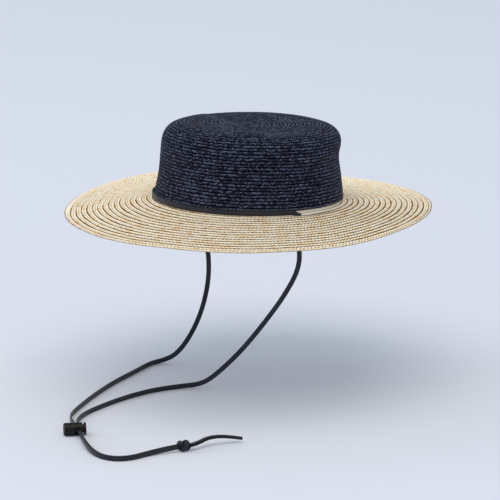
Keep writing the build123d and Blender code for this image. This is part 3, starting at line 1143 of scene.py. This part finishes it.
@dataclass(frozen=True)
class Sweatband:
    """The grosgrain ribbon inside the head opening, butted at the back under a short tape."""

    oval: HeadOval
    rise: float = 1.0 * MM
    height: float = 27 * MM
    thickness: float = 0.7 * MM
    foot_inset: float = 0.5 * MM
    top_inset: float = 2.0 * MM
    rib: float = 1.2 * MM
    rib_height: float = 0.1 * MM
    butt: float = 1.0 * MM
    tape_width: float = 14 * MM
    tape_thickness: float = 0.4 * MM
    tape_gap: float = 0.1 * MM
    gather: float = 0.25 * MM
    step: float = 0.3 * MM

    def strip(self, name: str, start: float, end: float, inward: float, thickness: float,
              gather: float) -> bpy.types.Object:
        """A band of ribbon stood up along the head oval.

        A point is at angle a and height z, its offset -(foot inset + (top inset - foot inset) * z
        share + inward), less a rib wave sin^2(pi * distance / rib) on the face towards the head, and
        a slow gather along the top edge.

        Args:
            name: Name of the piece.
            start: Angle where the band begins.
            end: Angle where it ends.
            inward: How far its outer face lies inside the sweatband's own outer face.
            thickness: Thickness of the ribbon.
            gather: How far its top edge waves.

        Returns:
            The band.
        """
        steps = int((end - start) * HEAD_RADIUS / self.step)
        angle = np.linspace(start, end, steps)[:, None]
        up = np.linspace(0, 1, 10)
        share = np.concatenate([up, up[::-1]])[None, :]
        inner = np.repeat([0.0, 1.0], len(up))[None, :]
        distance = angle * HEAD_RADIUS
        ribs = self.rib_height * np.sin(math.pi * distance / self.rib) ** 2
        wave = gather * share**3 * (np.sin(9 * angle) + np.sin(14 * angle + 1.0))
        rounded = 0.3 * thickness * np.abs(2 * share - 1) ** 12
        offset = -(self.foot_inset + (self.top_inset - self.foot_inset) * share + inward
                   + inner * (thickness - ribs) + rounded * (1 - 2 * inner)) - np.abs(wave)
        angle, offset = np.broadcast_arrays(angle, offset)
        height = np.broadcast_to(self.rise + self.height * share, angle.shape)
        rings = tip_back(np.concatenate([self.oval.place(angle, offset), height[..., None]], -1))
        uv = np.stack([np.broadcast_to(distance, angle.shape), height], -1)
        return closed_tube(name, rings, uv)

    def build(self, finish: bpy.types.Material) -> list[bpy.types.Object]:
        """Build the ribbon and its tape and dress them.

        Args:
            finish: The woven ribbon.

        Returns:
            The sweatband and the tape over its butt.
        """
        rear = TURN / 4
        end_radius = self.oval.half_length - self.oval.end_centre
        gap, reach = self.butt / 2 / end_radius, self.tape_width / 2 / end_radius
        band = self.strip("sweatband_ribbon", rear + gap, rear + TURN - gap, inward=0,
                          thickness=self.thickness, gather=self.gather)
        tape = self.strip("sweatband_tape", rear - reach, rear + reach, gather=0,
                          inward=self.thickness + self.tape_gap, thickness=self.tape_thickness)
        return [settle(piece, finish, "hat", "grosgrain", node)
                for piece, node in ((band, "sweatband"), (tape, "sweatband_join_tape"))]


def settle(piece: bpy.types.Object, finish: bpy.types.Material, body: str, slot: str,
           *nodes: str) -> bpy.types.Object:
    """Dress a piece, let it ride on a body and let it stand for the CAD nodes it replaces.

    Args:
        piece: The piece.
        finish: Its material.
        body: The body it moves with.
        slot: Name of the record's material slot; not used.
        nodes: The CAD nodes that it stands for.

    Returns:
        The piece.
    """
    piece.data.materials.clear()
    piece.data.materials.append(finish)
    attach(piece, body)
    if nodes:
        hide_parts(*nodes)
    log.info("%s: %d faces", piece.name, len(piece.data.polygons))
    return piece


def dress_node(name: str, finish: bpy.types.Material) -> bpy.types.Object:
    """Dress a CAD node whose shape is kept.

    Args:
        name: Name of the node.
        finish: Its material.

    Returns:
        The node's object.
    """
    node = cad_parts[name]
    node.data.materials.clear()
    node.data.materials.append(finish)
    log.info("%s: kept, in %s", name, finish.name)
    return node


@dataclass(frozen=True)
class CordLock:
    """The cord lock: a closed barrel, a plunger and its spring, whose CAD shapes are kept."""

    moulded: tuple[str, ...] = ("cord_lock_barrel", "cord_lock_plunger")
    spring: str = "cord_lock_spring"

    def dress(self, plastic: bpy.types.Material, steel: bpy.types.Material) -> list[bpy.types.Object]:
        """Dress the lock's nodes in plastic and steel, and return them."""
        return [*(dress_node(name, plastic) for name in self.moulded), dress_node(self.spring, steel)]


# ------------------------------------------------------------------ lace


class Side(Enum):
    """Which slit a lace strand comes out of, as the sign of its x."""

    RIGHT = 1
    LEFT = -1


@dataclass(frozen=True)
class Lace:
    """The flat leather lace: a band round the front of the crown, two strands, a knot, two tails."""

    oval: HeadOval
    width: float = 5.0 * MM
    thickness: float = 1.5 * MM
    offset: float = 4.25 * MM
    band_width: float = 5.7 * MM
    band_height: float = 2.2 * MM
    leg: float = 2.9 * MM
    sinking: float = 11 * MM
    tip: float = 3 * MM
    strand_step: float = 2.2 * MM
    tail_step: float = 1.2 * MM
    slit_shift: float = 1.4 * MM
    apart: float = 0.8 * MM
    lying: float = FLOOR + 2.6 * MM
    lock_height: float = FLOOR + 6.5 * MM
    lock_heading: float = math.radians(64)
    crossing: tuple[float, float] = (45.2 * MM, -243.8 * MM)
    knot_start: tuple[float, float] = (150 * MM, -195.5 * MM)
    knot_heading: tuple[float, float] = (0.25, 0.968)
    knot_length: float = 12.5 * MM
    knot_radius: float = 5.3 * MM
    # Distances along a strand: turned to stand on edge, on edge for the floor, landed.
    turned: float = 60 * MM
    edge_up: tuple[float, float] = (180 * MM, 300 * MM)
    landed: float = 240 * MM
    # Distances from the lock: drawing together before it, squeezed through it and past its slide.
    drawn: tuple[float, float] = (-60 * MM, -12 * MM)
    squeezed: tuple[float, ...] = (-16 * MM, -8 * MM, 32 * MM, 46 * MM)
    across_view: tuple[float, float, float] = (0.809, -0.588, 0.0)

    def slit_route(self, side: Side) -> Route:
        """Control points from a slit down to the floor and across it to the lock.

        Args:
            side: Which slit the strand hangs from.

        Returns:
            The control points, listed one by one.
        """
        low = self.lying
        if side is Side.RIGHT:
            return [
                (0.08625, 0, -0.0034), (0.08625, 0, -0.030), (0.083, 0.0035, -0.057),
                (0.0705, -0.0055, -0.087), (0.0525, -0.0175, -0.118), (0.0305, -0.031, -0.151),
                (0.005, -0.044, -0.180), (-0.019, -0.0465, -0.1965), (-0.0275, -0.066, low),
                (-0.033, -0.098, low), (-0.0285, -0.134, low), (-0.018, -0.170, low),
                (-0.005, -0.203, low), (0.014, -0.2255, FLOOR + 0.0035),
            ]
        return [
            (-0.08625, 0, -0.0034), (-0.08625, 0, -0.030), (-0.079, 0.003, -0.062),
            (-0.076, 0.004, -0.098), (-0.081, -0.0005, -0.134), (-0.091, -0.0085, -0.165),
            (-0.105, -0.0185, -0.1895), (-0.1175, -0.0285, low), (-0.117, -0.044, low),
            (-0.100, -0.076, low), (-0.078, -0.120, low), (-0.051, -0.162, low),
            (-0.026, -0.196, low), (-0.008, -0.217, FLOOR + 0.0035), (0.013, -0.2315, FLOOR + 0.0062),
        ]

    def strap_route(self) -> Route:
        """Control points through the lock and along the doubled strap to the knot.

        Returns:
            The control points.
        """
        ahead = (math.sin(self.lock_heading), -math.cos(self.lock_heading))
        x, y = self.crossing
        kx, ky = self.knot_start
        dx, dy = self.knot_heading
        low = self.lying
        return [
            (x - ahead[0] * 0.014, y - ahead[1] * 0.014, self.lock_height),
            (x + ahead[0] * 0.048, y + ahead[1] * 0.048, self.lock_height - 0.0002),
            (0.1165, -0.2705, low), (0.1375, -0.266, low), (0.1465, -0.249, low), (0.1435, -0.226, low),
            (kx - dx * 0.011, ky - dy * 0.011, FLOOR + 0.0045),
            (kx, ky, FLOOR + self.knot_radius),
        ]

    def tail_route(self) -> Route:
        """Control points of the tails, from the knot up in a low arch to their tips.

        Returns:
            The control points.
        """
        kx, ky = self.knot_start
        dx, dy = self.knot_heading
        end = (kx + dx * self.knot_length, ky + dy * self.knot_length)
        return [
            (*end, FLOOR + self.knot_radius),
            (end[0] + dx * 0.008, end[1] + dy * 0.008, FLOOR + 0.0064),
            (0.1515, -0.160, FLOOR + 0.0088), (0.155, -0.142, FLOOR + 0.008), (0.161, -0.125, FLOOR + 0.0038),
        ]

    def stood(self, line: np.ndarray, along: np.ndarray, first_way: tuple[float, float, float]) -> np.ndarray:
        """Direction of the lace's width: first_way at the slit, turning to stand on edge.

        The wanted direction is (1 - w) * first_way + w * on edge, with w a smooth step of the
        distance. On edge is cross(tangent, across_view), and upright once the lace has landed.

        Args:
            line: Points along the strand.
            along: Distance run at each point.
            first_way: Direction of the width at the slit.

        Returns:
            The direction of the width at each point.
        """
        tangent = unit(np.gradient(line, axis=0))
        on_edge = np.cross(tangent, np.array(self.across_view))
        on_edge = on_edge * np.sign(on_edge[np.searchsorted(along, self.turned)] @ np.array(first_way))
        weight = smooth_step(0, self.turned, along)[:, None]
        edge_up = smooth_step(*self.edge_up, along)[:, None]
        upright = UP * np.sign(on_edge[np.searchsorted(along, self.landed), 2])
        return (1 - weight) * np.array(first_way) + weight * (on_edge * (1 - edge_up) + upright * edge_up)

    def strand(self, side: Side) -> tuple[bpy.types.Object, np.ndarray]:
        """One strand, from its slit through the lock to the knot.

        It is squeezed narrower over the stretch that the lock slides on. Near the lock and along the
        strap it moves sideways by apart, so that the two strands lie face to face:
        line + cross(up, tangent) * apart * a smooth step of the distance to the lock.

        Args:
            side: Which slit it hangs from.

        Returns:
            The strand and the line that it follows.
        """
        name = f"lace_{side.name.lower()}_strand_leather"
        route = self.slit_route(side) + self.strap_route()
        along, line = even_line(smooth_line(route, name + "_route"), self.strand_step)
        tangent = unit(np.gradient(line, axis=0))
        sideways = np.nan_to_num(unit(np.cross(UP, tangent)))
        lock = np.linalg.norm(line - np.array([*self.crossing, self.lock_height]), axis=1)
        near = smooth_step(*self.drawn, np.where(along < along[np.argmin(lock)], -lock, 0))
        line = line + sideways * (near * self.apart * side.value)[:, None]
        past = along - along[np.argmin(lock)]
        squeezed = smooth_step(*self.squeezed[:2], past) * (1 - smooth_step(*self.squeezed[2:], past))
        share = 0.82 + 0.18 * smooth_step(0, 12 * MM, along) - 0.2 * squeezed
        way = self.stood(line, along, (0, 1, 0))
        piece = Ribbon(self.width, self.thickness).sweep(name, line, way, share, 1 - 0.12 * squeezed)
        return piece, line

    def tail(self, side: Side) -> tuple[bpy.types.Object, np.ndarray]:
        """One tail, lying flat over or under the other, its tip cut to a blunt point.

        Args:
            side: RIGHT is the lower tail and LEFT the upper one.

        Returns:
            The tail and the line that it follows.
        """
        name = f"lace_{side.name.lower()}_tail_leather"
        along, line = even_line(smooth_line(self.tail_route(), name + "_route"), self.tail_step)
        line = line - np.array([0, 0, side.value * self.apart])
        left = along[-1] - along
        rounded = np.sqrt(1 - (1 - np.clip(left / self.tip, 0, 1)) ** 2) * 0.9 + 0.1
        taper = (0.6 + 0.4 * np.clip(left / along[-1], 0, 1)) * rounded
        ahead_x, ahead_y = self.knot_heading
        way = np.broadcast_to(np.array([ahead_y, -ahead_x, 0]), line.shape)
        return Ribbon(self.width, self.thickness).sweep(name, line, way, taper), line

    def band(self) -> bpy.types.Object:
        """The lace upright against the front half of the crown's foot, turned down into each slit.

        The line is the head oval at the lace's offset, tipped back with the crown. Over its last
        stretch it sinks to the slit along a smooth step, its width turning from upright to level.

        Returns:
            The band.
        """
        angle = np.linspace(0, -math.pi, 420)
        flat = self.oval.place(angle, np.full_like(angle, self.offset))
        sink = 1 - smooth_step(0, self.sinking, np.abs(flat[:, 1]))
        flat = flat + np.sign(flat) * np.array([self.slit_shift, 0]) * sink[:, None]
        height = self.band_height * (1 - sink) - 1.0 * MM * sink
        line = tip_back(np.concatenate([flat, height[:, None]], 1))
        down = np.array([[0, 0, self.leg]])
        line = np.concatenate([line[:1] - down, line, line[-1:] - down])
        sink = np.concatenate([[1.0], sink, [1.0]])[:, None]
        way = (1 - sink) * UP + sink * np.array([0, 1.0, 0]) * np.sign(line[:, :1])
        share = 1 - 0.25 * sink[:, 0]
        return Ribbon(self.band_width, self.thickness).sweep("lace_round_crown_leather", line, way, share)

    def knot(self) -> bpy.types.Object:
        """The overhand knot that ties both laces, drawn up tight.

        Its line is a trefoil, (sin t + 2 sin 2t, cos t - 2 cos 2t, -sin 3t), squeezed into the knot's
        length and radius, with its closed ends buried where the strap comes in.

        Returns:
            The knot.
        """
        t = np.linspace(0, TURN, 150)
        trefoil = np.stack([np.sin(t) + 2 * np.sin(2 * t), np.cos(t) - 2 * np.cos(2 * t), -np.sin(3 * t)], -1)
        inset = np.array([0.9, 1.5, 2.0]) * MM
        half = np.array([self.knot_length / 2, self.knot_radius, self.knot_radius]) - inset
        local = trefoil / np.array([2.6, 2.9, 1.0]) * half
        ahead = np.array([*self.knot_heading, 0.0])
        aside = np.array([-ahead[1], ahead[0], 0.0])
        resting = FLOOR + self.knot_radius + 0.4 * MM
        middle = np.array([*self.knot_start, resting]) + ahead * self.knot_length / 2
        line = middle + local[:, :1] * ahead + local[:, 1:2] * aside + local[:, 2:] * UP
        outward = line - middle
        tangent = unit(np.gradient(line, axis=0))
        ribbon = Ribbon(width=4.9 * MM, thickness=3.0 * MM, squareness=3.0)
        return ribbon.sweep("lace_end_knot_leather", line, np.cross(tangent, outward))

    def build(self, finish: bpy.types.Material, lock_pieces: list[bpy.types.Object]) -> None:
        """Args:
            finish: The leather.
            lock_pieces: The cord lock's pieces, which sit on the strands; not used.
        """
        band = settle(self.band(), finish, "hat", "black_leather", "lace_round_crown")
        knot = settle(self.knot(), finish, "hat", "black_leather", "lace_end_knot")
        for side in Side:
            strand, line = self.strand(side)
            settle(strand, finish, "hat", "black_leather", f"lace_{side.name.lower()}_strand")
            tail, line = self.tail(side)
            settle(tail, finish, "hat", "black_leather", f"lace_{side.name.lower()}_tail")


# ------------------------------------------------------------------ studio


@dataclass(frozen=True)
class Studio:
    """The floor, the soft lights and the camera."""

    distance: float = 4.1
    azimuth: float = math.radians(54.0)
    elevation: float = math.radians(13.8)
    aim_azimuth: float = math.radians(53.986)
    aim_elevation: float = math.radians(14.556)
    lens: float = 286.6
    sensor: float = 36.0
    floor_size: float = 30.0

    def away(self, azimuth: float, elevation: float) -> np.ndarray:
        """Unit vector from the object towards a viewer at that azimuth and elevation."""
        level = math.cos(elevation)
        return np.array([math.sin(azimuth) * level, -math.cos(azimuth) * level, math.sin(elevation)])

    def camera(self) -> bpy.types.Object:
        """A long lens, a little above the brim, level with the horizon.

        Returns:
            The camera.
        """
        data = bpy.data.cameras.new("camera")
        data.lens = self.lens
        data.sensor_width = self.sensor
        data.clip_end = 100
        eye = put_in_scene("camera", data)
        eye.location = self.away(self.azimuth, self.elevation) * self.distance
        eye.rotation_euler = (TURN / 4 - self.aim_elevation, 0, self.aim_azimuth)
        bpy.context.scene.camera = eye
        return eye

    def floor(self, finish: bpy.types.Material) -> bpy.types.Object:
        """A level sheet of paper at the floor's height.

        Args:
            finish: The paper.

        Returns:
            The sheet.
        """
        corners = np.array([[-1, -1, 0], [1, -1, 0], [1, 1, 0], [-1, 1, 0]]) * self.floor_size / 2
        sheet = build_mesh("studio_floor", corners + np.array([0, 0, FLOOR]), np.array([[0, 1, 2, 3]]))
        sheet.data.materials.append(finish)
        return sheet

    def light(self, name: str, azimuth: float, elevation: float, distance: float, size: float,
              power: float, colour: str) -> bpy.types.Object:
        """A square soft box that faces the object.

        Args:
            name: Name of the light.
            azimuth: Where it stands, in degrees round from -Y towards +X.
            elevation: How high it stands, in degrees.
            distance: How far it stands from the origin.
            size: Side of its square.
            power: Its power in watts.
            colour: Its sRGB hex colour.

        Returns:
            The light.
        """
        data = bpy.data.lights.new(name, "AREA")
        data.size = size
        data.energy = power
        data.color = linear(colour)[:3]
        lamp = put_in_scene(name, data)
        turn, rise = math.radians(azimuth), math.radians(elevation)
        lamp.location = self.away(turn, rise) * distance
        lamp.rotation_euler = (TURN / 4 - rise, 0, turn)
        return lamp

    def sky(self, colour: str, strength: float) -> None:
        """An even glow from all sides.

        Args:
            colour: Its sRGB hex colour.
            strength: Its strength.
        """
        world = bpy.data.worlds.new("studio_glow")
        world.use_nodes = True
        glow = world.node_tree.nodes["Background"]
        glow.inputs["Color"].default_value = linear(colour)
        glow.inputs["Strength"].default_value = strength
        bpy.context.scene.world = world


# ------------------------------------------------------------------ the whole hat

NATURAL_STRAW = BraidFinish(
    name="split_wheat_straw_plaited",
    plait=Brim.plait,
    tones=((0.0, "7c481b"), (0.28, "c68a48"), (0.39, "fbd499"), (0.52, "fff2cf"), (1.0, "fffdf4")),
    # Painted shade in the gaps, and painted shadow along the lapped edges of the rows.
    gap="5f3a18",
    gap_shade_strength=0.86,
    lap_shadow="4f2c10",
    lap_shadow_strength=0.92,
    lap_shadow_width=0.85 * MM,
    roughness=0.55,
    specular=0.12,
    fibre_relief=0.4 * MM,
    chance=0.38,
    # crest and ridge are shares of painted highlight.
    crest=0.26,
    ridge=0.22,
    gap_share=0.09,
    # Painted light on the first row beside the right slit, and painted shade in the gap behind it.
    first_row_light="fffcf4",
    first_row_light_strength=0.62,
    slit_gap_shade_colour="120a05",
)

BLACK_STRAW = BraidFinish(
    name="black_dyed_paper_straw_plaited",
    plait=Crown.plait,
    tones=((0.0, "010203"), (0.36, "05060a"), (0.52, "10141f"), (0.66, "2c344a"), (0.87, "8f9abf")),
    # Painted shade in the gaps, and painted shadow along the lapped edges of the rows.
    gap="010102",
    gap_shade_strength=0.85,
    lap_shadow="000001",
    lap_shadow_strength=0.98,
    lap_shadow_width=1.2 * MM,
    roughness=0.5,
    specular=0.07,
    fibre_relief=0.5 * MM,
    chance=0.21,
    # crest and ridge are shares of painted highlight.
    crest=0.27,
    ridge=0.38,
    gap_share=0.12,
)


def main() -> None:
    """Build the studio and every part of the hat, in order."""
    bpy.context.scene.view_settings.view_transform = "Standard"
    studio = Studio()
    studio.camera()
    studio.floor(PaperFinish().material())
    studio.sky(colour="e3e9f4", strength=0.78)
    studio.light("key_box", azimuth=44, elevation=68, distance=6.0, size=5.6, power=180, colour="fff1dd")
    studio.light("left_box", azimuth=316, elevation=24, distance=6.0, size=4.6, power=84, colour="f6f8ff")
    thread = ThreadFinish().material()
    for node in ("crown_stitches", "sweatband_stitches"):
        dress_node(node, thread)
    lock_pieces = CordLock().dress(MouldedFinish().material(), SpringFinish().material())
    oval = HeadOval()
    Lace(oval).build(LeatherFinish().material(), lock_pieces)
    Brim(oval).build(NATURAL_STRAW.material())
    Crown(oval).build(BLACK_STRAW.material())
    Sweatband(oval).build(GrosgrainFinish().material())


if __name__ == "__main__":
    logging.basicConfig(level=logging.INFO, format="%(message)s")
    main()
